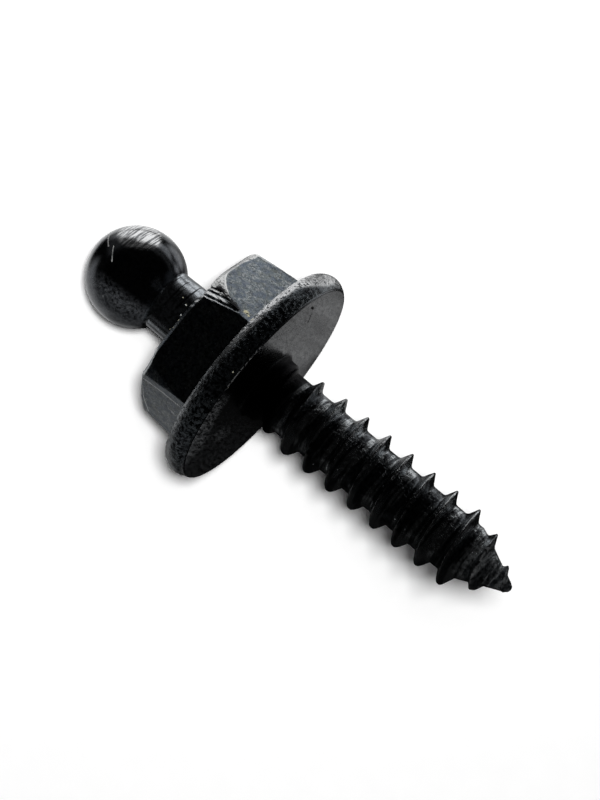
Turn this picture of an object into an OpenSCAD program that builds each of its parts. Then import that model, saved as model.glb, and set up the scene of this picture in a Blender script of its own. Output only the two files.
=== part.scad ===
// Ball-head self-tapping screw with a flanged hexagon, lying as it comes to rest: on the rim of its
// flange and on its ball, with one flat of the hexagon down and the point in the air.
// Heights are measured along the screw from the seat, which is the underside of the flange, up to
// the ball. Depths are measured from the seat down to the point.

/* [Ball and neck] */
// Diameter of the ball
ball_d = 4.7; // [4.2:0.1:5.2]
// Height of the ball's centre above the seat
ball_h = 7.85; // [7.3:0.05:9]
// Diameter of the neck where it enters the ball
neck_d = 3.1; // [2.6:0.05:3.5]
// How much wider the neck is at its foot
neck_swell = 0.1; // [0:0.02:0.3]
// Radius of the flare at the foot of the neck
neck_fillet = 0.3; // [0.2:0.05:0.45]

/* [Hexagon] */
// Width across the flats
hex_af = 7.95; // [7.6:0.05:8.3]
// Height of the hexagon's top above the seat
hex_top = 4.05; // [3.6:0.05:4.5]
// Diameter over the corners at the top, where they are drawn in
hex_corner_top_d = 8.62; // [8.3:0.02:8.9]
// Slope at which the corners draw in on their way up, in degrees
hex_taper = 7; // [4:0.5:10]
// Width of the broken edge around the top
hex_edge = 0.2; // [0.1:0.05:0.3]
// Depth to which the tops of the corners are broken
hex_corner_break = 0.1; // [0.05:0.05:0.2]

/* [Flange] */
// Diameter of the flange over its rounded rim
flange_d = 11.42; // [11.1:0.02:11.9]
// Diameter of the flat seat, out to its sharp edge
seat_d = 10.8; // [10.3:0.05:10.9]
// Thickness of the flange's rim
flange_t = 1.2; // [1:0.05:1.5]
// Slope of the flange's top, rising from the rim to the hexagon, in degrees
flange_slope = 3; // [0:0.5:8]

/* [Collar under the seat] */
// Diameter of the plain collar above the thread
collar_d = 3.2; // [3:0.05:3.4]
// Length of the plain collar
collar_l = 0.6; // [0.5:0.05:0.9]
// Clearance around the thread that the fillet on the seat takes up, so that a drilled panel seats flat
seat_clearance = 0.07; // [0.04:0.01:0.15]

/* [Thread] */
// Diameter over the thread's crests
thread_d = 3.75; // [3.6:0.05:3.9]
// Diameter of the core between the crests
core_d = 2.72; // [2.5:0.02:2.9]
// Distance from crest to crest
pitch = 1.3; // [1.1:0.05:1.5]
// Width of the blunt crest
crest_w = 0.09; // [0.05:0.01:0.14]
// Angle between the two flanks of a crest, in degrees
flank_angle = 58; // [50:1:65]
// Length from the seat to the tip
screw_l = 14.42; // [12:0.02:20]
// Depth at which the thread reaches its full height
lead_in = 2.4; // [1.8:0.1:3]
// Where the crest would start around the screw at the seat, in degrees from the upper flat
thread_start = 292; // [0:1:359]

/* [Point] */
// Length of the tapered point
point_l = 2.6; // [2:0.05:3.5]
// Diameter at which the core's taper would end at the tip
tip_core_d = 0.36; // [0.3:0.02:0.5]
// Diameter at which the crests' taper would end at the tip
tip_crest_d = 0.62; // [0.56:0.02:0.8]
// Length of the rounding that blunts the tip
tip_round = 0.16; // [0.12:0.01:0.2]
// Distance from the tip at which the last turn starts to close up
tip_close = 0.5; // [0.4:0.05:0.7]

/* [Smoothness] */
// Flats in one turn of the thread
turn_steps = 40; // [28:4:48]
// Steps in each rounded edge of the head
arc_steps = 10; // [6:1:16]

/* [Hidden] */
$fn = 96;

// How far shapes that join reach into each other, and how far a shape dips in where it would only touch
bury = 0.8;
dip = 0.04;

// Radius of the rim's arc, and its centre: it bulges from one edge of the rim to the other
rim_out = (flange_d - seat_d) / 2;
rim_r = (rim_out * rim_out + flange_t * flange_t / 4) / (2 * rim_out);
rim_x = flange_d / 2 - rim_r;
rim_h = flange_t / 2;
rim_sweep = asin(rim_h / rim_r);

// Height at which the flange's top meets the flats, and where the hexagon starts inside the flange
flange_top_h = flange_t + (seat_d - hex_af) / 2 * tan(flange_slope);
hex_foot = flange_t - bury;
hex_corner_foot_d = hex_corner_top_d + 2 * (hex_top - hex_corner_break - hex_foot) * tan(hex_taper);

// The neck ends inside the ball, and its flare dips under the hexagon's top
neck_foot_r = (neck_d + neck_swell) / 2;
neck_flare_h = hex_top + neck_fillet - dip;

// The fillet under the seat ends clear of the thread, and the collar's end dips under the core
seat_fillet = (thread_d - collar_d) / 2 + seat_clearance;
collar_drop = (collar_d - core_d) / 2 + dip;

// The crest is never quite flat, and it fades out over the last half turn
least_share = 0.04;
fade_l = pitch / 2;

// The crest starts inside the head, and is wound on past the tip until all of the groove has closed up
first_depth = -flange_t;
last_depth = screw_l + 1.5 * pitch;
stations = ceil((last_depth - first_depth) / pitch * turn_steps);

// The screw lies on the line that touches the rim's arc and the ball, which lifts its point by this angle
rest_angle = atan2(rim_x, ball_h - rim_h) - asin((ball_d / 2 - rim_r) / norm([rim_x, ball_h - rim_h]));
// Place of the seat's centre: over the ground, and along it with the middle of the screw at zero
seat_z = ball_d / 2 + ball_h * sin(rest_angle);
seat_x = (ball_d / 2 + (ball_h - screw_l) * cos(rest_angle)) / 2;

// Points on an arc, for the outline of a turned shape
function arc(centre, r, from, to) =
    [for (i = [0:arc_steps]) let (a = from + (to - from) * i / arc_steps) centre + r * [cos(a), sin(a)]];

// Half of the outline from the collar's end, along the seat and the rim, up to the neck's end in the ball
function head_outline() = concat(
    [[0, -collar_l - collar_drop], [collar_d / 2 - collar_drop, -collar_l - collar_drop]],
    [[collar_d / 2, -collar_l]],
    arc([collar_d / 2 + seat_fillet, -seat_fillet], seat_fillet, 180, 90),
    arc([rim_x, rim_h], rim_r, -rim_sweep, rim_sweep),
    [[hex_af / 2, flange_top_h], [hex_af / 2 - bury, flange_top_h], [hex_af / 2 - bury, hex_top - bury]],
    [[neck_foot_r + neck_fillet, hex_top - bury]],
    arc([neck_foot_r + neck_fillet, neck_flare_h], neck_fillet, 270, 180),
    [[neck_d / 2, ball_h], [0, ball_h]]
);

// Collar, flange and neck: all that a lathe would turn
module turned_head() {
    rotate_extrude() polygon(head_outline());
}

// A long block that is as wide as the hexagon across two of its flats, with the edges broken at the top
module across_flats() {
    half = hex_af / 2;
    rotate([90, 0, 0]) linear_extrude(height = 2 * hex_af, center = true) polygon([
        [-half, hex_foot],
        [half, hex_foot],
        [half, hex_top - hex_edge],
        [half - hex_edge, hex_top],
        [hex_edge - half, hex_top],
        [-half, hex_top - hex_edge]
    ]);
}

// Hexagon: what three such blocks share, with its corners drawn in by a steep cone
module hexagon() {
    intersection() {
        across_flats();
        rotate(60) across_flats();
        rotate(120) across_flats();
        rotate_extrude() polygon([
            [0, hex_foot],
            [hex_corner_foot_d / 2, hex_foot],
            [hex_corner_top_d / 2, hex_top - hex_corner_break],
            [hex_corner_top_d / 2 - hex_edge, hex_top],
            [0, hex_top]
        ]);
    }
}

// Distance of a depth from the tip: past the tip, the turns close up on it without reaching it
function to_tip(depth) =
    let (d = screw_l - depth)
    d > tip_close ? d : tip_close * exp((d - tip_close) / tip_close);

// Radius, at distance d from the tip, of a shank that tapers over the point and is blunt at the tip
function tapered(d, full_d, tip_d) =
    let (blunt = d < tip_round ? sqrt(1 - pow(1 - d / tip_round, 2)) : 1)
    blunt * min(full_d, tip_d + (full_d - tip_d) * d / point_l) / 2;

// Share of its full height that the crest has at a depth
function crest_share(depth) = max(least_share, min(1, depth / lead_in, (screw_l - depth) / fade_l));

function core_r(depth) = tapered(to_tip(depth), core_d, tip_core_d);
function crest_r(depth) =
    let (core = core_r(depth), full = tapered(to_tip(depth), thread_d, tip_crest_d))
    core + (full - core) * crest_share(depth);

// Five points across one turn whose crest lies at a depth, each a radius and a depth:
// the middle of the groove above, foot, crest, crest and foot
function across(depth) =
    let (half = crest_w / 2, foot = half + (crest_r(depth) - core_r(depth)) * tan(flank_angle / 2))
    [
        [core_r(depth - pitch / 2), depth - pitch / 2],
        [core_r(depth - foot), depth - foot],
        [crest_r(depth - half), depth - half],
        [crest_r(depth + half), depth + half],
        [core_r(depth + foot), depth + foot]
    ];

// The crest passes one station after another on its way down
function station_depth(i) = first_depth + i * pitch / turn_steps;
function station_angle(i) = thread_start - 360 * station_depth(i) / pitch;
function on_thread(angle, place) = [place[0] * cos(angle), place[0] * sin(angle), to_tip(place[1]) - screw_l];

// Core and thread as one closed skin: a strip wound around the screw, in which the lower edge of each
// turn is the upper edge of the next, with a fan of faces to close it at the top and at the tip
module threaded_shank() {
    rows = 5;
    wound = stations - turn_steps;
    top = rows * (stations + 1);
    tip = top + 1;
    points = concat(
        [for (i = [0:stations]) for (place = across(station_depth(i))) on_thread(station_angle(i), place)],
        [[0, 0, -first_depth], [0, 0, -screw_l]]
    );
    // A point of the strip. The row after the last is the first row of the next turn.
    function at(i, row) = row < rows ? rows * i + row : rows * (i + turn_steps);
    function patch(i, row) = [
        [at(i, row), at(i + 1, row + 1), at(i + 1, row)],
        [at(i, row), at(i, row + 1), at(i + 1, row + 1)]
    ];
    strip = [for (i = [0:wound - 1]) for (row = [0:rows - 1]) each patch(i, row)];
    top_fan = concat(
        [for (i = [0:turn_steps - 1]) [top, at(i, 0), at(i + 1, 0)]],
        [for (row = [0:rows - 1]) [top, at(0, row + 1), at(0, row)]]
    );
    tip_fan = concat(
        [for (i = [wound:stations - 1]) [tip, at(i + 1, 0), at(i, 0)]],
        [for (row = [0:rows - 1]) [tip, at(wound, row), at(wound, row + 1)]]
    );
    polyhedron(points, concat(strip, top_fan, tip_fan), convexity = 10);
}

// From standing on its tip, with the seat's centre at zero, to lying as it rests
module lay_down() {
    translate([seat_x, 0, seat_z]) rotate([0, -90 - rest_angle, 0]) children();
}

module ball_head_screw() {
    color([0.09, 0.09, 0.1]) lay_down() {
        threaded_shank();
        turned_head();
        hexagon();
        translate([0, 0, ball_h]) sphere(d = ball_d);
    }
}

ball_head_screw();
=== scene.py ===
"""A black-plated self-tapping screw with a ball head, lying on a white table.

Lengths of the screw are in millimetres and heights are measured along it from its seat, as in the
CAD source: the ball is above the seat and the thread is below it. Meshes are turned into the row
frame, in metres, once they are made.
"""
import math

import bpy
import numpy as np
from mathutils import Matrix, Vector


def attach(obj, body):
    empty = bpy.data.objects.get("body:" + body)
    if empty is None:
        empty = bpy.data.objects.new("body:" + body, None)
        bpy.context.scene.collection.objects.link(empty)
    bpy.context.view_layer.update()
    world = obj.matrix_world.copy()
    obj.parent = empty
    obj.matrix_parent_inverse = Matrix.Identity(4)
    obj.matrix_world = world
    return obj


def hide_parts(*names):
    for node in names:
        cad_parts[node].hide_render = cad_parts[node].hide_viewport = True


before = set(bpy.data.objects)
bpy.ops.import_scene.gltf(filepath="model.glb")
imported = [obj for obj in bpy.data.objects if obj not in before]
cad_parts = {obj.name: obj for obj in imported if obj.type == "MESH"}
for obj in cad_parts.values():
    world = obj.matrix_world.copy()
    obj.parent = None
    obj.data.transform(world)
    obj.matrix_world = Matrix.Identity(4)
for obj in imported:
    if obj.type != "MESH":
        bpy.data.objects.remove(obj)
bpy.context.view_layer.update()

MM = 0.001

# Ball and neck
BALL_R, BALL_H = 2.35, 7.85
NECK_R, NECK_FOOT_R, NECK_FILLET = 1.55, 1.6, 0.3
NECK_ASIDE = 0.075
# Hexagon
HEX_HALF, HEX_TOP, HEX_EDGE, TOP_TILT = 3.975, 4.05, 0.2, 0.028
CORNER_TOP_R, CORNER_BREAK, CORNER_TAPER = 4.31, 0.1, 7
# Corners of its top that are struck down: at how many degrees, and by how much
STRUCK_CORNERS = ((30, 0.20), (-90, 0.26))
# Draw marks on one corner: how far around it each starts, its width and depth, and its low end
DRAW_MARKS = (
    (-0.50, 0.040, 0.045, 2.3),
    (-0.24, 0.070, 0.105, 1.9),
    (0.03, 0.050, 0.070, 2.2),
    (0.28, 0.085, 0.110, 2.0),
)
# Flange and collar, and the short cone that ends the collar inside the thread
FLANGE_R, SEAT_R, FLANGE_T, FLANGE_SLOPE = 5.71, 5.4, 1.2, 3
COLLAR_R, COLLAR_L, SEAT_FILLET, COLLAR_CONE = 1.6, 0.6, 0.345, 0.28
# Thread and point. The shank's skin starts a little way up inside the head.
CREST_R, CORE_R, PITCH, CREST_W, FLANK_ANGLE = 1.875, 1.36, 1.3, 0.09, 58
SCREW_L, LEAD_IN, THREAD_START, SHANK_START = 14.42, 2.4, 292, -0.9
POINT_L, TIP_CORE_R, TIP_CREST_R, TIP_ROUND, TIP_CLOSE = 2.6, 0.18, 0.31, 0.16, 0.5
# Edges sharper than this stay sharp in the shading, in degrees
SHARP_EDGE = 42

# The rim's arc, and how the screw rests on it and on its ball
RIM_OUT = FLANGE_R - SEAT_R
RIM_R = (RIM_OUT ** 2 + FLANGE_T ** 2 / 4) / (2 * RIM_OUT)
RIM_X, RIM_H = FLANGE_R - RIM_R, FLANGE_T / 2
RIM_SWEEP = math.asin(RIM_H / RIM_R)
REST_ANGLE = math.atan2(RIM_X, BALL_H - RIM_H) - math.asin(
    (BALL_R - RIM_R) / math.hypot(RIM_X, BALL_H - RIM_H))
SEAT_CENTRE = Vector((
    (BALL_R + (BALL_H - SCREW_L) * math.cos(REST_ANGLE)) / 2,
    0,
    BALL_R + BALL_H * math.sin(REST_ANGLE)))

# The screw's own directions in the row frame: out of its upper flat, sideways, and up to the ball
FLAT_OUT = Vector((-math.sin(REST_ANGLE), 0, math.cos(REST_ANGLE)))
SIDEWAYS = Vector((0, 1, 0))
TO_BALL = Vector((-math.cos(REST_ANGLE), 0, -math.sin(REST_ANGLE)))
DIRECTIONS = np.array([FLAT_OUT, SIDEWAYS, TO_BALL])


def to_row_frame(points):
    """Points on the screw, in millimetres, to places in the row frame, in metres."""
    return (points @ DIRECTIONS + np.array(SEAT_CENTRE)) * MM


def to_screw(places):
    """Places in the row frame, in metres, to points on the screw, in millimetres."""
    return (places / MM - np.array(SEAT_CENTRE)) @ DIRECTIONS.T


# ---------------------------------------------------------------- shapes

def smooth_max(a, b, width):
    """The larger of two depths, rounded where they are about equal and never less than either."""
    near = np.maximum(width - np.abs(a - b), 0) / width
    return np.maximum(a, b) + near * near * width / 4


def smooth_min(a, b, width):
    return -smooth_max(-a, -b, width)


def ramp(value, low, high):
    """Goes smoothly from 0 where the value is at low to 1 where it is at high."""
    t = np.clip((value - low) / (high - low), 0, 1)
    return t * t * (3 - 2 * t)


def corner_r(z):
    """Radius of the hexagon's drawn-in corners at a height."""
    return CORNER_TOP_R + (HEX_TOP - CORNER_BREAK - z) * math.tan(math.radians(CORNER_TAPER))


def head_form(x, y, z):
    """Depth outside the hexagon and the flange's top, less than zero inside, before wear."""
    rho = np.hypot(x, y)
    hexagon = rho - corner_r(z) - 0.03
    # The top stands a little askew, and two of its corners are struck down
    turned = np.arctan2(y, x)
    over = z - HEX_TOP - TOP_TILT * np.maximum(y, 0) - 0.06 * ramp(-y, 1.0, 3.0)
    for degrees, drop in STRUCK_CORNERS:
        near = np.exp(-((turned - math.radians(degrees)) / 0.24) ** 2)
        over = over + drop * near * ramp(rho, 2.4, 4.2)
    for degrees in (0, 60, 120):
        a = math.radians(degrees)
        across = np.abs(x * math.cos(a) + y * math.sin(a)) - HEX_HALF
        edge = (across + over + HEX_EDGE) / math.sqrt(2)
        hexagon = smooth_max(hexagon, smooth_max(across, edge, 0.04), 0.03)
    # One edge is rolled over, most of all towards its ends
    a = math.radians(60)
    beside = y * math.cos(a) - x * math.sin(a)
    width = 0.20 + 0.38 * ramp(beside, -0.6, -2.3) + 0.16 * ramp(beside, 1.0, 2.3)
    rolled = (x * math.cos(a) + y * math.sin(a) - HEX_HALF) * 0.94 + (over + width) * 0.34
    hexagon = smooth_max(hexagon, rolled, 0.03)
    broken = math.atan2(CORNER_BREAK, HEX_EDGE)
    struck = 0.35 * np.exp(-((turned + math.radians(30)) / 0.3) ** 2)
    relief = (rho - CORNER_TOP_R + HEX_EDGE + struck) * math.sin(broken) + over * math.cos(broken)
    hexagon = smooth_max(hexagon, relief, 0.04)
    hexagon = smooth_max(hexagon, over, 0.025)
    slope = math.radians(FLANGE_SLOPE)
    flange = (z - FLANGE_T - (SEAT_R - rho) * math.tan(slope)) * math.cos(slope)
    return smooth_min(hexagon, flange, 0.22)


def drawn_grooves(x, y, z):
    """Depth of the draw marks on the corner between the upper flat and the flat beside it."""
    rho = np.hypot(x, y)
    s = rho * (np.arctan2(y, x) - math.radians(30))
    down = HEX_TOP - z
    wander = 0.012 * np.sin(9 * down) + 0.01 * np.sin(23 * down + 1)
    beside = ramp(s, 0.62 - 0.24 * down, 0.50 - 0.24 * down)
    depth = np.zeros_like(rho)
    for start, width, deep, low in DRAW_MARKS:
        line = start + 0.2 * down + wander
        across = np.exp(-((s - line) / width) ** 2)
        depth += deep * across * ramp(z, low, low + 0.35) * beside
    return depth


def worked_form(x, y, z):
    """Depth outside the hexagon and the flange's top with the draw marks in them."""
    return head_form(x, y, z) + drawn_grooves(x, y, z)


def project(place, direction, depth_of, reach=(-0.5, 0.25), steps=26):
    """Moves each place along its direction to the surface where depth_of is zero."""
    low, high = np.full(len(place), reach[0]), np.full(len(place), reach[1])
    for _ in range(steps):
        middle = (low + high) / 2
        outside = depth_of(*(place + direction * middle[:, None]).T) > 0
        high = np.where(outside, middle, high)
        low = np.where(outside, low, middle)
    return place + direction * ((low + high) / 2)[:, None]


def around():
    """Angles around the head, in radians. They are closer together at the hexagon's corners."""
    angles = []
    for corner in range(6):
        middle = 30 + 60 * corner
        steps = np.concatenate([
            np.linspace(-30, -9, 14, endpoint=False),
            np.linspace(-9, 9, 36, endpoint=False),
            np.linspace(9, 30, 14, endpoint=False)])
        angles.append(middle + steps)
    return np.radians(np.concatenate(angles))


def turned_ring(angle, radius, height):
    """Points around the screw's axis at one radius, or at a radius for each angle."""
    heights = np.full_like(angle, height)
    return np.stack([radius * np.cos(angle), radius * np.sin(angle), heights], 1)


def ball_and_neck(angle):
    """Rings from the top of the ball down to the flare at the neck's foot."""
    rings = []
    meeting = math.pi - math.asin(NECK_R / BALL_R)
    soft = 0.045
    for polar in [*np.linspace(0.02, meeting - 0.12, 50), meeting - 0.07, meeting - 0.035]:
        rings.append((BALL_R * math.sin(polar), BALL_H + BALL_R * math.cos(polar)))
    neck_top = BALL_H + BALL_R * math.cos(meeting)
    rings.append((NECK_R + soft * 0.35, neck_top + soft * 0.3))
    flare_h = HEX_TOP + NECK_FILLET - 0.04
    for t in [0.03, 0.07, *np.linspace(0.12, 1, 14)]:
        rings.append((NECK_R + (NECK_FOOT_R - NECK_R) * t, neck_top + (flare_h - neck_top) * t))
    for a in np.radians(np.linspace(180, 262, 11)[1:]):
        rings.append((
            NECK_FOOT_R + NECK_FILLET * (1 + math.cos(a)), flare_h + NECK_FILLET * math.sin(a)))
    places = [turned_ring(angle, r, h) for r, h in rings]
    for ring in places:
        # The neck is a little thinner than its foot, and stands a little to one side
        h = ring[:, 2]
        share = ramp(h, neck_top + 0.02, neck_top - 0.12) * ramp(h, HEX_TOP + 0.02, HEX_TOP + 0.3)
        ring[:, :2] *= 1 - share[:, None] * NECK_ASIDE / NECK_R
        ring[:, 1] += share * NECK_ASIDE
    return places


def hexagon_and_flange_top(angle):
    """Rings from the neck's foot over the hexagon's top, down its sides and out to the rim."""
    phi = np.abs((np.degrees(angle) + 30) % 60 - 30)
    narrow = 1 / np.cos(np.radians(phi))
    start_r = NECK_FOOT_R + NECK_FILLET + 0.02
    edge_r = np.minimum((HEX_HALF - HEX_EDGE) * narrow, CORNER_TOP_R - HEX_EDGE)
    side_r = np.minimum(HEX_HALF * narrow, corner_r(HEX_TOP - HEX_EDGE))
    edge_l, fillet = HEX_EDGE + 0.04, 0.12
    foot_h = FLANGE_T + (SEAT_R - HEX_HALF) * math.tan(math.radians(FLANGE_SLOPE))
    foot_r = HEX_HALF * narrow
    # Each station has a radius, a height and the direction in which it moves onto the surface
    top, side = np.array([0, 1]), np.array([1, 0])
    stations = []
    for t in np.sin(np.linspace(0.05, 1, 12) * math.pi / 2):
        stations.append((start_r + (edge_r - start_r) * t * 0.97, HEX_TOP, top))
    for t in np.linspace(0, 1, 11):
        mix = top * (1 - t) + side * t
        r = edge_r * 0.97 + (side_r - edge_r * 0.97) * min(1, t * 1.15)
        stations.append((r, HEX_TOP - edge_l * max(0, t * 1.3 - 0.3), mix / np.linalg.norm(mix)))
    side_top = HEX_TOP - edge_l
    for t in [0.02, 0.045, 0.075, *np.linspace(0.11, 0.92, 22), 0.95, 0.975]:
        h = side_top + (foot_h - side_top) * t
        stations.append((np.minimum(foot_r, corner_r(h)), h, side))
    for t in np.linspace(0, 1, 7):
        mix = side * (1 - t) + top * t
        r = foot_r + fillet * max(0, t - 0.5) * 2
        h = foot_h + fillet * max(0, 0.5 - t) * 2
        stations.append((r, h, mix / np.linalg.norm(mix)))
    rim_start = SEAT_R - 0.03
    for t in np.linspace(0.08, 1, 14):
        r = (foot_r + fillet) + (rim_start - foot_r - fillet) * t
        stations.append((r, foot_h, top))
    rings = []
    for r, h, (outward, upward) in stations:
        way = turned_ring(angle, outward, upward)
        rings.append(project(turned_ring(angle, r, h), way, worked_form))
    return rings


def rim_and_collar(angle):
    """Rings from the flange's rim around its edge, in along the seat and down the collar."""
    rings = []
    soft = math.radians(3)
    for a in np.linspace(RIM_SWEEP - soft * 0.3, -RIM_SWEEP + soft, 26):
        rings.append((RIM_X + RIM_R * math.cos(a), RIM_H + RIM_R * math.sin(a)))
    for t in (0.3, 0.75):
        rings.append((SEAT_R + 0.012 - 0.05 * t, 0.012 * (1 - t) ** 2))
    for r in np.linspace(SEAT_R - 0.08, COLLAR_R + SEAT_FILLET, 12):
        rings.append((r, 0))
    for a in np.radians(np.linspace(90, 180, 10)[1:]):
        rings.append((COLLAR_R + SEAT_FILLET * (1 + math.cos(a)), SEAT_FILLET * (math.sin(a) - 1)))
    rings.append((COLLAR_R, -COLLAR_L + 0.03))
    rings.append((COLLAR_R - 0.02, -COLLAR_L))
    rings.append((COLLAR_R - COLLAR_CONE, -COLLAR_L - COLLAR_CONE))
    return [turned_ring(angle, r, h) for r, h in rings]


def lofted(name, rings, top, bottom):
    """A closed mesh through rings of points, from a point on top to a point at the bottom."""
    around_n = len(rings[0])
    points = np.concatenate(rings + [np.array([top, bottom])])
    top_i, bottom_i = len(points) - 2, len(points) - 1
    faces = []
    for i in range(around_n):
        j = (i + 1) % around_n
        faces.append((top_i, i, j))
        for ring in range(len(rings) - 1):
            a, b = ring * around_n, (ring + 1) * around_n
            faces.append((a + j, a + i, b + i, b + j))
        last = (len(rings) - 1) * around_n
        faces.append((bottom_i, last + j, last + i))
    return mesh_object(name, points, faces)


def mesh_object(name, points, faces):
    """A mesh in the row frame from points on the screw."""
    mesh = bpy.data.meshes.new(name)
    mesh.from_pydata(to_row_frame(points).tolist(), [], faces)
    mesh.validate()
    mesh.update()
    thing = bpy.data.objects.new(name, mesh)
    bpy.context.scene.collection.objects.link(thing)
    return thing


def make_head():
    angle = around()
    rings = ball_and_neck(angle) + hexagon_and_flange_top(angle) + rim_and_collar(angle)
    return lofted("head", rings, (0, 0, BALL_H + BALL_R), (0, 0, -COLLAR_L - COLLAR_CONE))


# ---------------------------------------------------------------- thread

def to_tip(depth):
    """Distance of a depth from the tip. Near and past the tip, the turns close up on it."""
    left = SCREW_L - depth
    closing = TIP_CLOSE * np.exp((np.minimum(left, TIP_CLOSE) - TIP_CLOSE) / TIP_CLOSE)
    return np.where(left > TIP_CLOSE, left, closing)


def tapered(left, full, at_tip):
    """A radius that narrows along the point to its blunt end, by how much of the screw is left."""
    blunt = np.where(left < TIP_ROUND, np.sqrt(np.maximum(0, 1 - (1 - left / TIP_ROUND) ** 2)), 1)
    return blunt * np.minimum(full, at_tip + (full - at_tip) * left / POINT_L)


def core_r(depth):
    return tapered(to_tip(depth), CORE_R, TIP_CORE_R)


def crest_r(depth):
    core, full = core_r(depth), tapered(to_tip(depth), CREST_R, TIP_CREST_R)
    share = np.minimum(depth / LEAD_IN, (SCREW_L - depth) / (PITCH / 2))
    share = np.maximum(0.04, np.minimum(1, share))
    return core + (full - core) * share


def rounded(points, closing, sizes):
    """Turns each inner corner of a row of points into three, and adds one halfway up each flank."""
    out = [points[0]]
    chain = points + [closing]
    for i in range(1, len(points)):
        before, here, after = chain[i - 1], chain[i], chain[i + 1]
        back, on = before - here, after - here
        len_b = np.linalg.norm(back, axis=1, keepdims=True) + 1e-9
        len_o = np.linalg.norm(on, axis=1, keepdims=True) + 1e-9
        size = np.minimum(sizes[i - 1], 0.42 * np.minimum(len_b, len_o))
        start, end = here + back / len_b * size, here + on / len_o * size
        out += [start, start * 0.25 + here * 0.5 + end * 0.25, end]
        if i in (1, 3):
            out.append((here + after) / 2)
    return out


def make_shank(turn_steps=96):
    """Core and thread as one closed strip wound around the screw, with a fan at each end."""
    first, last = SHANK_START, SCREW_L + 1.5 * PITCH
    stations = math.ceil((last - first) / PITCH * turn_steps)
    depth = first + np.arange(stations + 1) * PITCH / turn_steps
    angle = np.radians(THREAD_START - 360 * depth / PITCH)
    half = CREST_W / 2
    foot = half + (crest_r(depth) - core_r(depth)) * math.tan(math.radians(FLANK_ANGLE / 2))

    def profile(radius, at):
        return np.stack([radius, at], 1)

    across = rounded(
        [profile(core_r(depth - PITCH / 2), depth - PITCH / 2),
         profile(core_r(depth - foot), depth - foot),
         profile(crest_r(depth - half), depth - half),
         profile(crest_r(depth + half), depth + half),
         profile(core_r(depth + foot), depth + foot)],
        profile(core_r(depth + PITCH / 2), depth + PITCH / 2),
        (0.09, 0.03, 0.03, 0.09))
    rows = len(across)
    places = np.stack(across, 1)
    radius, at = places[..., 0], places[..., 1]
    cos, sin = np.cos(angle)[:, None], np.sin(angle)[:, None]
    points = np.stack([radius * cos, radius * sin, to_tip(at) - SCREW_L], 2).reshape(-1, 3)
    wound = stations - turn_steps
    top, tip = len(points), len(points) + 1
    points = np.concatenate([points, [[0, 0, -first], [0, 0, -SCREW_L]]])

    def at_row(i, row):
        return rows * i + row if row < rows else rows * (i + turn_steps)

    faces = []
    for i in range(wound):
        for row in range(rows):
            faces.append((
                at_row(i, row), at_row(i + 1, row), at_row(i + 1, row + 1), at_row(i, row + 1)))
    for i in range(turn_steps):
        faces.append((top, at_row(i + 1, 0), at_row(i, 0)))
    for row in range(rows):
        faces.append((top, at_row(0, row), at_row(0, row + 1)))
    for i in range(wound, stations):
        faces.append((tip, at_row(i, 0), at_row(i + 1, 0)))
    for row in range(rows):
        faces.append((tip, at_row(wound, row + 1), at_row(wound, row)))
    return mesh_object("shank", points, faces)


def join_as_one(name, kept, added):
    """One closed skin around both meshes."""
    join = kept.modifiers.new("join", "BOOLEAN")
    join.operation, join.solver, join.object = "UNION", "MANIFOLD", added
    joined = kept.evaluated_get(bpy.context.evaluated_depsgraph_get())
    whole = bpy.data.meshes.new_from_object(joined)
    for thing in (kept, added):
        bpy.data.objects.remove(thing)
    thing = bpy.data.objects.new(name, whole)
    whole.name = name
    bpy.context.scene.collection.objects.link(thing)
    return thing


def lumps(points, size, seed):
    """Smooth noise from -1 to 1 that changes over about size millimetres."""
    p = points / size + 7.3 * seed
    cell = np.floor(p)
    t = p - cell
    t = t * t * (3 - 2 * t)
    cell = cell.astype(np.int64)
    total = np.zeros(len(points))
    for corner in range(8):
        step = np.array([corner & 1, corner >> 1 & 1, corner >> 2 & 1])
        x, y, z = (cell + step).T
        mixed = (x * 374761393 + y * 668265263 + z * 2246822519 + seed * 3266489917) & 0xFFFFFFFF
        mixed = ((mixed ^ mixed >> 13) * 1274126177) & 0xFFFFFFFF
        height = ((mixed ^ mixed >> 16) & 0xFFFF) / 32767.5 - 1
        total += height * np.prod(np.where(step, t, 1 - t), axis=1)
    return total


def worn_depth(points):
    """How far the skin is pitted, worn or uneven at each point on the screw, in millimetres."""
    x, y, h = points.T
    rho = np.hypot(x, y)
    rim = ramp(rho, 5.3, 5.46) * ramp(h, 0.02, 0.12)
    pits = np.maximum(0, lumps(points, 0.26, 1) * 0.7 + lumps(points, 0.13, 2) * 0.5 - 0.1)
    depth = rim * (0.05 * pits + 0.01 * (1 + lumps(points, 0.8, 3)))
    depth += 0.1 * ramp(rho, 5.35, 5.6) * ramp(-y, 3.4, 5.2)
    top = ramp(rho, 4.1, 4.4) * ramp(h, 1.0, 1.15) * (1 - ramp(rho, 5.3, 5.4))
    depth += top * 0.02 * pits
    side = ramp(h, 1.5, 1.7) * (1 - ramp(h, 4.1, 4.2)) * ramp(rho, 2.4, 3.4)
    depth += side * (0.004 * (1 + lumps(points, 0.7, 4)) + 0.003 * (1 + lumps(points, 0.22, 5)))
    shank = 1 - ramp(h, -0.75, -0.5)
    crest = shank * ramp(rho / np.maximum(crest_r(-h), 0.2), 0.86, 0.97)
    depth += shank * (0.007 * (1 + lumps(points, 0.3, 6)) + 0.005 * (1 + lumps(points, 0.15, 7)))
    chips = np.maximum(0, lumps(points, 0.55, 8) * 0.8 + lumps(points, 0.2, 9) * 0.4)
    depth += crest * 0.035 * chips
    return depth


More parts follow.
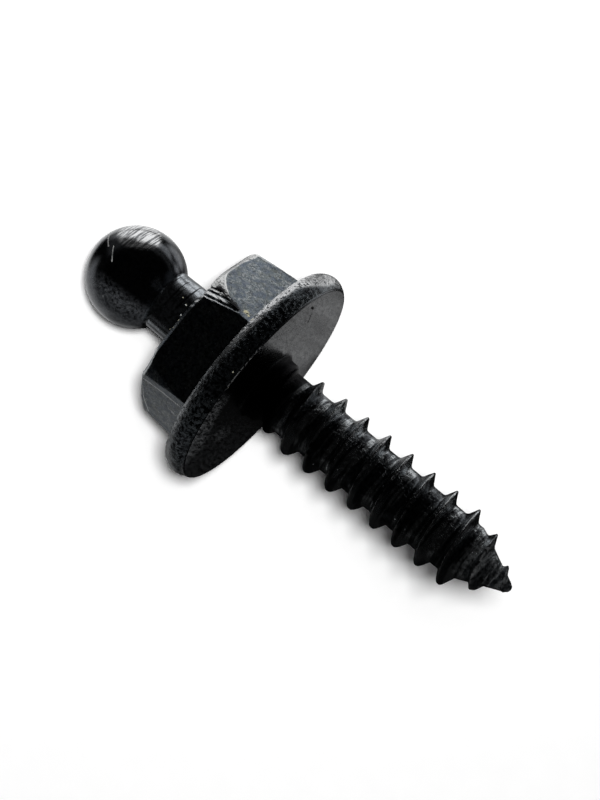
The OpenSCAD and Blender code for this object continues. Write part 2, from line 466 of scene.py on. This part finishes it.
def wear_down(thing):
    """Moves the skin inwards by its worn depth, then shades it smooth up to its edges."""
    mesh = thing.data
    places, normals = (np.empty(len(mesh.vertices) * 3) for _ in range(2))
    mesh.vertices.foreach_get("co", places)
    mesh.vertex_normals.foreach_get("vector", normals)
    places, normals = places.reshape(-1, 3), normals.reshape(-1, 3)
    places = places - normals * worn_depth(to_screw(places))[:, None] * MM
    mesh.vertices.foreach_set("co", places.ravel())
    mesh.update()
    mesh.shade_smooth()
    mesh.set_sharp_from_angle(angle=math.radians(SHARP_EDGE))


# ---------------------------------------------------------------- materials

# Colours of the plating, from its even film to its grain, stains and hollows, with a painted
# highlight for the neck's upper side and painted shade for the collar
FILM, WORN_FILM, SATIN_FILM = (0.072, 0.078, 0.087), (0.100, 0.107, 0.117), (0.192, 0.226, 0.248)
NECK_HIGHLIGHT_GREY, SEAT_GREY = (0.56, 0.60, 0.64), (0.30, 0.31, 0.32)
GREY_GRAIN, PALE_GRAIN = (0.22, 0.225, 0.23), (0.46, 0.485, 0.50)
DARK_MOTTLE = (0.070, 0.078, 0.088)
BLUE_STAIN, GREEN_STAIN = (0.12, 0.15, 0.205), (0.21, 0.225, 0.18)
DARK_HOLLOW, COLLAR_SHADE_BLACK = (0.015, 0.017, 0.02), (0.010, 0.010, 0.012)
PALE_RING, DARK_RING = (0.58, 0.61, 0.63), (0.012, 0.014, 0.018)
# Colours of bared metal and painted highlights, of the rolled edge, marks, dust and specks
BARE_AND_HIGHLIGHT_METAL, DRAWN_METAL, EDGE_HIGHLIGHT_METAL = (0.80, 0.81, 0.82), (0.74, 0.75, 0.76), (0.75, 0.76, 0.76)
ROLLED_DARK, ROLLED_HIGHLIGHT_METAL, ROLLED_HIGHLIGHT_LINE = (0.06, 0.06, 0.06), (0.72, 0.73, 0.73), (0.85, 0.86, 0.86)
SCRATCH_AND_HIGHLIGHT_GREY, DUST_GREY, BRASSY = (0.34, 0.34, 0.33), (0.16, 0.165, 0.17), (0.60, 0.56, 0.36)
PATCH_BLACK, MARK_BLACK = (0.01, 0.01, 0.012), (0.006, 0.006, 0.006)

# Marks on the screw, in millimetres out of its upper flat, sideways and up from its seat. A line
# has its two ends and its width, and its strength where that is less than 1. A spot has its place
# and its size.
BALL_SCRATCHES = (
    ((0.821, 0.909, 9.855), (1.366, 0.765, 9.602), 0.06),
    ((1.366, 0.765, 9.602), (1.816, 0.568, 9.229), 0.05),
    ((1.907, 0.729, 9.014), (2.233, 0.212, 8.549), 0.05),
)
# Bright lines along the hexagon's edges are painted highlights
HEX_EDGE_HIGHLIGHTS = (
    ((3.12, -2.78, 3.87), (3.20, -2.73, 3.45), 0.04),
    ((3.20, -2.73, 3.45), (3.28, -2.68, 2.86), 0.04),
    ((3.28, -2.68, 2.86), (3.34, -2.65, 1.73), 0.045),
    ((2.312, -3.255, 2.137), (2.167, -3.339, 1.888), 0.045),
    ((2.455, -3.163, 3.867), (1.452, -3.745, 3.758), 0.03, 0.7),
    ((1.452, -3.745, 3.758), (0.546, -4.265, 3.412), 0.04),
)
SEAT_MARKS = (
    ((1.75, 4.27, 0), (2.15, 4.33, 0), 0.08),
    ((1.4, 4.0, 0), (0.9, 3.5, 0), 0.06, 0.45),
)
CORNER_DOT = ((3.60, 2.49, 1.78), 0.06)
CORNER_SMEAR = ((3.96, 1.60, 3.8), (3.96, 2.16, 1.9), 0.16)
CORNER_PATCH = ((3.42, 2.57, 3.50), (3.76, 2.41, 2.23), 0.23)
BRASSY_SPECKS = (
    ((3.58, 2.51, 1.86), 0.20), ((3.66, 2.46, 1.66), 0.10), ((4.40, 2.60, 1.25), 0.12),
    ((4.773, 2.618, 1.166), 0.10), ((4.111, -3.181, 0.0), 0.07), ((5.311, -0.288, 0.0), 0.08),
    ((5.562, 0.431, 0.199), 0.05), ((1.281, 0.855, 5.165), 0.05), ((1.375, 0.696, 4.817), 0.05),
    ((1.505, 0.223, 4.683), 0.05), ((3.815, 0.362, 4.002), 0.05), ((3.815, -0.05, 4.002), 0.04),
    ((1.346, -0.612, 4.735), 0.04),
)
# The first of these is the centre of a painted highlight on the ball, broken by brushed streaks
STREAK_HIGHLIGHT_AT, SEAT_SMUDGE_AT, DRAW_GAP, SIN_60 = (1.20, 1.80, 8.56), (0.35, -2.85, 0), 0.262, 0.8660

# Places on the table, in millimetres. A bright patch beside the rim has its place, reach and level.
BALL_AT, UNDER_BALL_AT = (-9.0, 0, 0), (-9.4, -0.8, 0)
RIM_PATCHES = (((-5.6, 6.1, 0), 3.0, 1.0), ((-1.6, 8.1, 0), 1.9, 0.8), ((-7.0, -4.7, 0), 1.8, 0.45))


class Value:
    """A number that changes over a surface. Sums written with it add Math nodes to its material."""

    def __init__(self, maker, socket):
        self.maker, self.socket = maker, socket

    def __add__(self, other): return self.maker.math("ADD", self, other)
    def __radd__(self, other): return self.maker.math("ADD", other, self)
    def __sub__(self, other): return self.maker.math("SUBTRACT", self, other)
    def __rsub__(self, other): return self.maker.math("SUBTRACT", other, self)
    def __mul__(self, other): return self.maker.math("MULTIPLY", self, other)
    def __rmul__(self, other): return self.maker.math("MULTIPLY", other, self)
    def __pow__(self, other): return self.maker.math("POWER", self, other)


class Maker:
    """Builds the nodes of one material or world."""

    def __init__(self, owner):
        owner.use_nodes = True
        self.tree = owner.node_tree
        self.tree.nodes.clear()

    def node(self, kind, settings=None, inputs=None, output=0):
        """Adds a node with its settings, then sets or links its sockets. Gives what it puts out."""
        made = self.tree.nodes.new(kind)
        for name, value in (settings or {}).items():
            setattr(made, name, value)
        for key, value in (inputs or {}).items():
            if isinstance(value, Value):
                self.tree.links.new(value.socket, made.inputs[key])
            else:
                made.inputs[key].default_value = value
        return Value(self, made.outputs[output]) if len(made.outputs) else None

    def math(self, operation, a, b=0.0, clamp=False):
        settings = {"operation": operation, "use_clamp": clamp}
        return self.node("ShaderNodeMath", settings, {0: a, 1: b})

    def largest(self, a, b):
        return self.math("MAXIMUM", a, b)

    def capped(self, value):
        """The value where it is less than 1, and 1 elsewhere."""
        return self.math("MINIMUM", value, 1.0)

    def smooth(self, value, low, high, to=(0, 1)):
        """Goes smoothly from to[0], where the value is at low, to to[1], where it is at high."""
        return self.node("ShaderNodeMapRange", {"interpolation_type": "SMOOTHSTEP"}, {
            "Value": value, "From Min": low, "From Max": high, "To Min": to[0], "To Max": to[1]})

    def vector(self, operation, a, b, output=0):
        return self.node("ShaderNodeVectorMath", {"operation": operation}, {0: a, 1: b}, output)

    def dot(self, a, b):
        return self.vector("DOT_PRODUCT", a, b, "Value")

    def distance(self, a, b):
        return self.vector("DISTANCE", a, b, "Value")

    def scaled(self, a, scale):
        return self.node("ShaderNodeVectorMath", {"operation": "SCALE"}, {0: a, "Scale": scale})

    def combine(self, x, y, z):
        return self.node("ShaderNodeCombineXYZ", None, {"X": x, "Y": y, "Z": z})

    def grey(self, tone):
        return self.combine(tone, tone, tone)

    def part_of(self, vector, axis):
        return self.node("ShaderNodeSeparateXYZ", None, {0: vector}, axis)

    def place(self, kind):
        return self.node("ShaderNodeTexCoord", None, None, kind)

    def ray(self, kind):
        """1 for rays of this kind and 0 for others."""
        return self.node("ShaderNodeLightPath", None, None, kind)

    def noise(self, place, scale, detail=3.0, rough=0.55, bend=0.0):
        return self.node("ShaderNodeTexNoise", {"noise_dimensions": "3D"}, {
            "Vector": place, "Scale": scale, "Detail": detail, "Roughness": rough,
            "Distortion": bend})

    def blend(self, mask, under, over):
        """The colour under, covered by the colour over as far as the mask says."""
        under, over = (c if isinstance(c, Value) else (*c, 1) for c in (under, over))
        return self.node("ShaderNodeMix", {"data_type": "RGBA"}, {0: mask, 6: under, 7: over}, 2)

    def glowing(self, kind, colour):
        """An Emission or Background of strength 1, at which a colour shows as it is written."""
        return self.node(kind, None, {"Color": colour, "Strength": 1.0})

    def mix_shaders(self, mask, under, over):
        return self.node("ShaderNodeMixShader", None, {0: mask, 1: under, 2: over})


def together(masks):
    """The sum of several masks."""
    return sum(masks[1:], masks[0])


def plating():
    """Black plating: glossy on turned parts, satin on pressed ones and pitted on the rim."""
    material = bpy.data.materials.new("black_plating")
    m = Maker(material)
    # Out of the upper flat, sideways and up from the seat, then away from the axis and around it
    from_seat = m.vector("SUBTRACT", m.scaled(m.place("Object"), 1 / MM), tuple(SEAT_CENTRE))
    x, y, h = (m.dot(from_seat, tuple(way)) for way in (FLAT_OUT, SIDEWAYS, TO_BALL))
    rho = m.math("SQRT", x * x + y * y)
    turned = m.math("ARCTAN2", y, x)
    # Places for patterns: plain, drawn out along the screw, around it, and over its seat
    plain = m.combine(x, y, h)
    along = m.combine(x * 5, y * 5, h * 0.7)
    ringed = m.combine(turned * 0.9, rho * 0.3, h * 7)
    circled = m.combine(turned * 1.3, rho * 6, h)
    across_seat = m.combine((x + y * 0.13) * 0.25, y - x * 0.13, h)

    on_ball = m.smooth(h, 6.05, 6.12)
    on_neck = m.smooth(h, 4.0, 4.1) * (1 - on_ball) * m.smooth(rho, 2.0, 1.7)
    on_sides = m.smooth(h, 1.35, 1.5) * m.smooth(h, 4.1, 4.06) * m.smooth(rho, 2.2, 2.6)
    on_rim = m.smooth(rho, 5.3, 5.42) * m.smooth(h, 0.02, 0.08)
    on_flange_top = (m.smooth(rho, 3.9, 4.2) * m.smooth(h, 1.5, 1.35) * m.smooth(h, 1.1, 1.2)
                     * (1 - on_rim))
    on_seat = m.smooth(h, 0.02, 0.004) * m.smooth(h, -0.4, -0.02)
    on_collar = m.smooth(h, -0.02, -0.1) * m.smooth(h, -1.8, -1.3)
    in_thread = m.smooth(h, -0.3, -0.7)
    low_side = m.smooth(y, -0.4, -4.5)
    # How far a place lies inside the flats of the hexagon: the corners are drawn in behind them
    to_drawn_flat, to_low_flat = x * 0.5 + y * SIN_60, x * 0.5 - y * SIN_60
    widest = m.largest(x, m.largest(to_drawn_flat, to_low_flat))
    drawn_corner = (on_sides * m.smooth(widest, HEX_HALF - 0.03, HEX_HALF - 0.06)
                    * m.smooth(turned, 0.25, 0.36) * m.smooth(turned, 0.8, 0.7))

    coarse = m.noise(plain, 4.2, 2.5, 0.6)
    mottle = m.noise(plain, 6.5, 3.0, 0.7)
    grain = m.noise(plain, 12.0, 4.0, 0.62)
    fine = m.noise(plain, 24.0, 2.0, 0.6)
    cloud = m.noise(plain, 0.9, 5.0, 0.62)
    blue_cloud = m.noise(plain, 3.0)
    green_cloud = m.noise(plain, 2.5, 3.0, 0.6, 1.0)
    drawn = m.noise(along, 2.4, 4.0, 0.65)
    lathe = m.noise(ringed, 1.6, 4.0, 0.7)
    rings = m.noise(ringed, 0.62, 2.0, 0.6)
    swirl = m.noise(circled, 1.5, 3.0, 0.6)
    seat_grain = m.noise(across_seat, 6.0, 5.0, 0.75)
    pits = m.smooth(mottle, 0.54, 0.66)

    def line(start, end, width, strength=1):
        """A mask along a straight line between two places, with a ragged edge."""
        way = Vector(end) - Vector(start)
        from_start = m.vector("SUBTRACT", plain, start)
        share = m.math("DIVIDE", m.dot(from_start, tuple(way)), way.length_squared, clamp=True)
        ragged = m.distance(from_start, m.scaled(tuple(way), share)) + (grain - 0.5) * (width * 1.2)
        return m.smooth(ragged, width, width * 0.35, (0, strength))

    def spot(place, size):
        return m.smooth(m.distance(plain, place) + (grain - 0.5) * size, size, size * 0.4)

    def flecks(scale, size, share):
        """A mask of small flecks here and there."""
        near, colour = (
            m.node("ShaderNodeTexVoronoi", {"feature": "F1", "voronoi_dimensions": "3D"},
                   {"Vector": plain, "Scale": scale, "Randomness": 1.0}, output)
            for output in ("Distance", "Color"))
        return m.smooth(near, size, size * 0.5) * m.math("LESS_THAN", m.part_of(colour, "X"), share)

    # A painted highlight: a broken bright line along the seat's sharp edge on one side, kept in one
    # mask with the ball's real scratches
    seat_edge_highlight = (m.smooth(rho, 5.35, 5.38) * m.smooth(h, 0.045, 0.03) * m.smooth(turned, -0.12, 0.0)
                 * m.smooth(turned, 0.42, 0.34) * m.smooth(mottle, 0.42, 0.52) * 0.45)
    scratches_and_edge_highlight = together([line(*scratch) for scratch in BALL_SCRATCHES] + [seat_edge_highlight])
    edge_highlights = m.capped(together([line(*edge) for edge in HEX_EDGE_HIGHLIGHTS]))
    dark_marks = m.capped(together([line(*mark) for mark in SEAT_MARKS] + [spot(*CORNER_DOT)]))
    specks = together([spot(*speck) for speck in BRASSY_SPECKS])
    dust = (m.capped(flecks(2.6, 0.12, 0.05) + flecks(5.0, 0.15, 0.02))
            * (1 - on_seat) * (1 - on_sides * 0.8))

    # The rolled edge on one side of the hexagon's top is painted as a bright highlight band, broken
    # by dark mottle, with a painted highlight line where it starts
    beside = y * 0.5 - x * SIN_60
    over = (h - HEX_TOP - y * TOP_TILT + 0.20 + m.largest(-0.3 - beside, 0.0) ** 2 * 0.5
            + m.smooth(beside, 0.7, 1.6) * 0.2 + (mottle - 0.5) * 0.06)
    on_drawn_flat = (on_sides * m.smooth(to_drawn_flat, HEX_HALF - 0.60, HEX_HALF - 0.50)
                     * m.smooth(turned, 0.56, 0.60))
    rolled_edge = on_drawn_flat * m.smooth(over, 0.0, 0.04) * m.smooth(h, 2.75, 3.0)
    rolled_highlight_line = (on_drawn_flat * m.smooth(over, -0.05, -0.01) * m.smooth(over, 0.08, 0.03)
                   * m.smooth(beside, 1.35, 0.9) * m.smooth(h, 2.4, 3.2, (0.25, 1)))

    # Bare metal stands between the draw marks and scatters light
    across_marks = ((turned - math.radians(30)) * rho - 0.2 * (HEX_TOP - h) + 0.24
                    + (drawn - 0.5) * 0.10)
    between = m.smooth(m.math("COSINE", across_marks * (math.tau / DRAW_GAP)), 0.15, -0.4)
    stripes = (drawn_corner * between * m.smooth(h, 1.9, 3.3)
               * m.smooth(drawn, 0.36, 0.50, (0.25, 1)))

    # Bright metal: painted highlights in the ball's brushed streaks and on the rim's upper edge,
    # bared metal smeared on the drawn corner and worn on the thread's crests
    brushed_highlight = (on_ball * m.smooth(m.distance(plain, STREAK_HIGHLIGHT_AT), 1.15, 0.9)
               * (0.12 + m.smooth(lathe, 0.45, 0.56) * 0.88))
    smear = line(*CORNER_SMEAR) * m.smooth(drawn, 0.5, 0.62)
    point_slope = (CREST_R - TIP_CREST_R) / POINT_L
    full_r = m.math("MINIMUM", (h + SCREW_L) * point_slope + TIP_CREST_R, CREST_R)
    on_crest = (m.smooth(h, -1.6, -2.2) * m.smooth(rho - full_r, -0.10, -0.03)
                * m.smooth(coarse, 0.42, 0.52))
    # A painted highlight along the rim's upper edge, strongest on one side
    rim_highlight = (on_rim * m.smooth(h + m.smooth(y, 4.6, 5.5) * 0.6, 0.70, 0.95)
                * m.smooth(mottle, 0.62, 0.50) * m.smooth(y, 0.0, 2.5, (0.2, 1)))
    bared_and_highlight = m.capped(brushed_highlight + smear * 0.3 + on_crest * 0.5 + rim_highlight * 0.9)

    # The seat is duller in a wedge, in a smudge beside the collar and on its lower side
    smudge = m.smooth(m.distance(m.combine(x * 0.35, y, 0.0), SEAT_SMUDGE_AT), 0.6, 0.2)
    wedge = m.smooth(rho, 3.7, 4.5) * m.smooth(y, -0.5, -1.0) * m.smooth(turned, -1.2, -0.8)
    dull_seat = (on_seat * ((wedge + smudge * 0.5) * 0.45 + low_side * 0.22)
                 * m.smooth(seat_grain, 0.38, 0.62))

    # Painted highlight band on the rolled edge, broken by dark mottle
    rolled_highlight_colour = m.blend(m.smooth(mottle, 0.37, 0.49), ROLLED_DARK, ROLLED_HIGHLIGHT_METAL)
    colour = m.blend(m.smooth(cloud, 0.35, 0.7), FILM, WORN_FILM)
    for mask, layer in (
        (on_sides + on_rim * 0.5 + in_thread * 0.2, SATIN_FILM),
        # painted highlight: the neck's upper side is lighter than its lower side
        (on_neck * m.smooth(y, -1.3, -0.6, (0.1, 0.95)), NECK_HIGHLIGHT_GREY),
        (m.smooth(grain, 0.45, 0.7) * 0.5, GREY_GRAIN),
        (m.smooth(mottle, 0.52, 0.40) * (0.2 + on_sides * 0.6), DARK_MOTTLE),
        (on_sides * m.smooth(grain, 0.46, 0.60) * 0.9, PALE_GRAIN),
        (on_sides * m.smooth(blue_cloud, 0.46, 0.58) * 0.6, BLUE_STAIN),
        (on_sides * m.smooth(green_cloud, 0.49, 0.66) * 0.35, GREEN_STAIN),
        (m.smooth(coarse, 0.55, 0.35) * (0.3 + on_rim * 0.6 + in_thread * 0.5), DARK_HOLLOW),
        (in_thread * m.smooth(rings, 0.46, 0.55) * 0.8, PALE_RING),
        (on_neck * m.smooth(rings, 0.44, 0.38) * m.smooth(y, -0.2, 0.9, (0.1, 0.9)), DARK_RING),
        # painted shade on the collar, under the flange
        (on_collar, COLLAR_SHADE_BLACK),
        # bared metal, and painted highlights on the ball and rim
        (bared_and_highlight, BARE_AND_HIGHLIGHT_METAL),
        (stripes, DRAWN_METAL),
        (rolled_edge, rolled_highlight_colour),
        (rolled_highlight_line, ROLLED_HIGHLIGHT_LINE),
        (line(*CORNER_PATCH) * m.smooth(mottle, 0.70, 0.60), PATCH_BLACK),
        (m.capped(scratches_and_edge_highlight) * 0.85, SCRATCH_AND_HIGHLIGHT_GREY),
        (dust * 0.8, DUST_GREY),
        (m.capped(specks) * m.smooth(grain, 0.42, 0.52), BRASSY),
        (dark_marks * 0.9, MARK_BLACK),
        # painted highlights along the hexagon's edges
        (edge_highlights, EDGE_HIGHLIGHT_METAL),
        (dull_seat * 1.6, SEAT_GREY),
    ):
        colour = m.blend(mask, colour, layer)

    # What scatters light: marks, dust, the painted highlights on the seat's edge and the hexagon's
    # edges, and the duller film on ball, hexagon, rim, point and seat
    soft_film = (on_ball * m.smooth(y, -0.3, -1.0) * m.smooth(h, 9.3, 8.2) * 0.24
                 + on_sides * m.smooth(turned, -0.5, -0.68) * 0.045
                 + m.smooth(h, -11.8, -12.8) * 0.045 + 0.003)
    rim_film = on_rim * (0.01 + low_side * 0.19)
    scattering = (dull_seat + scratches_and_edge_highlight * 0.8 + stripes * 0.75 + edge_highlights * 0.8 + dust * 0.6
                  + specks * 0.7 + soft_film * m.smooth(mottle, 0.30, 0.66) * 1.9
                  + rim_film * m.smooth(mottle, 0.42, 0.58) * 1.5)

    rough = (0.25 + (cloud - 0.5) * 0.16 + (fine - 0.5) * 0.18
             - on_ball * 0.09 - on_neck * 0.07 - on_rim * 0.07 - on_seat * 0.06 - in_thread * 0.09
             - drawn_corner * 0.06 + on_sides * 0.03 + on_collar * 0.3 + dark_marks * 0.6
             + on_seat * (m.smooth(seat_grain, 0.42, 0.60) * 0.1 + low_side * 0.1)
             + on_ball * m.smooth(y, -0.4, -1.4) * 0.16)

    # Heights of the relief, in millimetres
    relief = (grain * (0.002 + on_rim * 0.006 + on_flange_top * 0.01 + in_thread * 0.007
                       + on_sides * 0.005)
              + coarse * (on_rim * 0.025 + on_flange_top * 0.03 + in_thread * 0.022
                          + on_sides * 0.004)
              - pits * (on_rim * 0.022 + on_flange_top * 0.015 + in_thread * 0.012)
              + fine * (0.0007 + on_rim * 0.006 + on_sides * 0.0016)
              + drawn * (on_sides * 0.003 + drawn_corner * 0.03)
              + lathe * (on_neck * 0.006 + on_ball * 0.0022 + in_thread * 0.008)
              + (swirl + mottle) * on_seat * 0.002 - scratches_and_edge_highlight * 0.006)
    bump = m.node("ShaderNodeBump", None, {"Height": relief, "Strength": 1.0, "Distance": MM})

    skin = m.node("ShaderNodeBsdfPrincipled", None, {
        "Base Color": colour, "Metallic": 1 - m.capped(scattering),
        "Roughness": m.largest(rough, 0.10), "Normal": bump})
    m.node("ShaderNodeOutputMaterial", None, {"Surface": skin})
    return material


def table_top():
    """White table, on which the camera sees nothing but the screw's soft shadow.

    The metal mirrors it as it mirrored its surroundings in the photograph: bright on one side of
    the screw, less so on the other, and dark elsewhere. That brightness shows in reflections only.
    """
    material = bpy.data.materials.new("white_table")
    m = Maker(material)
    here = m.place("Object")
    in_mm = m.scaled(here, 1 / MM)
    x, y = m.part_of(in_mm, "X"), m.part_of(in_mm, "Y")
    flat = m.combine(x, y, 0.0)

    def patch(place, reach, level):
        return m.smooth(m.distance(flat, place), reach, reach * 0.5) * level

    from_ball = m.distance(flat, BALL_AT)
    beside_head = (m.smooth(y, 0.6, 3.0) * m.smooth(y, 34, 14)
                   * m.smooth(x + 0.4 * y, -15, -12, (0.1, 1))
                   * m.smooth(y - 1.2 * x, 15.5, 18.0, (0.05, 1))
                   * (1 - m.smooth(x, -9.7, -8.9) * m.smooth(y, 9.3, 8.4)))
    beside_ball = (m.smooth(from_ball, 5.2, 4.5) * m.smooth(y, 0.8, 2.2)
                   * m.smooth(x, -7.0, -9.5, (0.25, 1)))
    dark_arc = (m.smooth(from_ball, 4.05, 4.2) * m.smooth(from_ball, 4.6, 4.45)
                * m.smooth(x, -8.4, -9.0))
    bright_side = m.largest(beside_head, beside_ball) * (1 - 0.9 * dark_arc)
    beside_rim = together([patch(*bright) for bright in RIM_PATCHES])
    beside_thread = (m.smooth(y, 6.8, 8.2) * m.smooth(y, 20, 12) * m.smooth(x, -1, 1)
                     * m.smooth(x, 22, 12))
    uneven = m.smooth(m.noise(flat, 1.3, 5.0, 0.7), 0.36, 0.62, (0.12, 0.52))
    below_seat = (m.smooth(x, 0.6, 1.3) * m.smooth(x, 6, 3.5) * m.smooth(y, -0.3, 0.4)
                  * m.smooth(y, 6, 4) * uneven)
    far_side = (m.smooth(x, -7.5, -9.5) * m.smooth(x, -24, -16) * m.smooth(y, -1, -4)
                * m.smooth(y, -17, -5) * 0.7)
    far_middle = (m.smooth(x, 1, -3) * m.smooth(x, -13, -9) * m.smooth(y, -6.5, -8.5)
                  * m.smooth(y, -19, -12) * 0.24)
    under_ball = m.smooth(m.distance(flat, UNDER_BALL_AT), 4.1, 3.3) * m.smooth(x, -7.6, -9.0)
    lit = together([
        bright_side, beside_rim, beside_thread, below_seat, far_side, far_middle, under_ball])
    shown = m.capped(lit + 0.006)
    mirrored = m.largest(m.ray("Is Glossy Ray"), m.ray("Is Transmission Ray"))

    camera = m.ray("Is Camera Ray")
    painted = m.node("ShaderNodeBsdfDiffuse", None, {
        "Color": m.grey(0.2 + m.noise(here, 900.0, 2.0) * 0.04 + camera * 0.86)})
    white = m.glowing("ShaderNodeEmission", (1, 1, 1, 1))
    # Away from the screw the camera sees plain white
    far_off = m.smooth(m.distance(here, (0, 0, 0)), 0.022, 0.05) * camera
    seen = m.mix_shaders(far_off, painted, white)
    surface = m.mix_shaders(mirrored, seen, m.glowing("ShaderNodeEmission", m.grey(shown)))
    m.node("ShaderNodeOutputMaterial", None, {"Surface": surface})
    return material


def surroundings():
    """White to the camera. Otherwise dim overhead, with a little light low down on two sides."""
    world = bpy.data.worlds.new("studio")
    bpy.context.scene.world = world
    m = Maker(world)
    way = m.place("Generated")
    up, side = m.part_of(way, "Z"), m.part_of(way, "Y")
    light = 0.002 + m.smooth(up, 0.15, 0.03) * (
        m.smooth(side, 0.3, 0.8, (0.01, 0.12)) + m.smooth(side, -0.7, -0.9) * 0.05)
    dim = m.glowing("ShaderNodeBackground", m.grey(light))
    white = m.glowing("ShaderNodeBackground", (1, 1, 1, 1))
    surface = m.mix_shaders(m.ray("Is Camera Ray"), dim, white)
    m.node("ShaderNodeOutputWorld", None, {"Surface": surface})


# ---------------------------------------------------------------- stage

TABLE_HALF, LAMP_DISTANCE = 0.4, 0.2


def soft_light(name, toward, size, level):
    """A square lamp that faces the screw and makes its soft shadow, unseen by camera and gloss.

    level is how brightly it lights a white card that faces it.
    """
    lamp = bpy.data.lights.new(name, "AREA")
    lamp.size = size
    lamp.energy = level * (math.pi * LAMP_DISTANCE) ** 2
    thing = bpy.data.objects.new(name, lamp)
    thing.location = Vector(toward).normalized() * LAMP_DISTANCE
    thing.rotation_euler = thing.location.to_track_quat("Z", "Y").to_euler()
    thing.visible_camera = False
    thing.visible_glossy = False
    bpy.context.scene.collection.objects.link(thing)


def set_stage():
    mesh = bpy.data.meshes.new("table")
    r = TABLE_HALF
    mesh.from_pydata([(-r, -r, 0), (r, -r, 0), (r, r, 0), (-r, r, 0)], [], [(0, 1, 2, 3)])
    mesh.materials.append(table_top())
    table = bpy.data.objects.new("table", mesh)
    bpy.context.scene.collection.objects.link(table)
    surroundings()
    soft_light("front_fill", (-0.182, 0.226, 1), 0.022, 0.80)
    soft_light("side_fill", (-0.18, 0.28, 1), 0.075, 0.28)


# Camera, from the photograph of 600 x 800: how far away it is, the scale and place of the seat's
# centre, and how the screw's axis and upper flat lie in it
IMAGE_W, IMAGE_H, SENSOR = 600, 800, 36
DISTANCE, PX_PER_MM, SEAT_PX = 128, 22.24, (265.281, 384.906)
AXIS_DOWN, AXIS_TOWARD, FLAT_TURN = 39.87, 12.04, 9


def set_camera():
    """Puts the camera where the photograph was taken from."""
    down, toward, turn = map(math.radians, (AXIS_DOWN, AXIS_TOWARD, FLAT_TURN))
    axis = Vector((
        math.cos(toward) * math.cos(down), -math.cos(toward) * math.sin(down), math.sin(toward)))
    facing = (Vector((0, 0, 1)) - axis * math.sin(toward)) / math.cos(toward)
    flat = facing * math.cos(turn) + axis.cross(facing) * math.sin(turn)
    seen = Matrix((axis, flat, axis.cross(flat))).transposed()
    real = Matrix((-TO_BALL, FLAT_OUT, (-TO_BALL).cross(FLAT_OUT))).transposed()
    turned = real @ seen.transposed()
    seat = Vector((
        (SEAT_PX[0] - IMAGE_W / 2) / PX_PER_MM, (IMAGE_H / 2 - SEAT_PX[1]) / PX_PER_MM, -DISTANCE))
    lens = bpy.data.cameras.new("camera")
    lens.sensor_width = SENSOR
    lens.lens = PX_PER_MM * DISTANCE / IMAGE_H * SENSOR
    lens.clip_start, lens.clip_end = 0.005, 5
    camera = bpy.data.objects.new("camera", lens)
    camera.matrix_world = Matrix.Translation((SEAT_CENTRE - turned @ seat) * MM) @ turned.to_4x4()
    bpy.context.scene.collection.objects.link(camera)
    bpy.context.scene.camera = camera


set_camera()
set_stage()
screw = join_as_one("screw", make_head(), make_shank())
wear_down(screw)
# The joined mesh comes with an empty slot, which the plating takes the place of
screw.data.materials.clear()
screw.data.materials.append(plating())
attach(screw, "root")
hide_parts("ball_head_screw")
bpy.context.scene.view_settings.view_transform = "Standard"
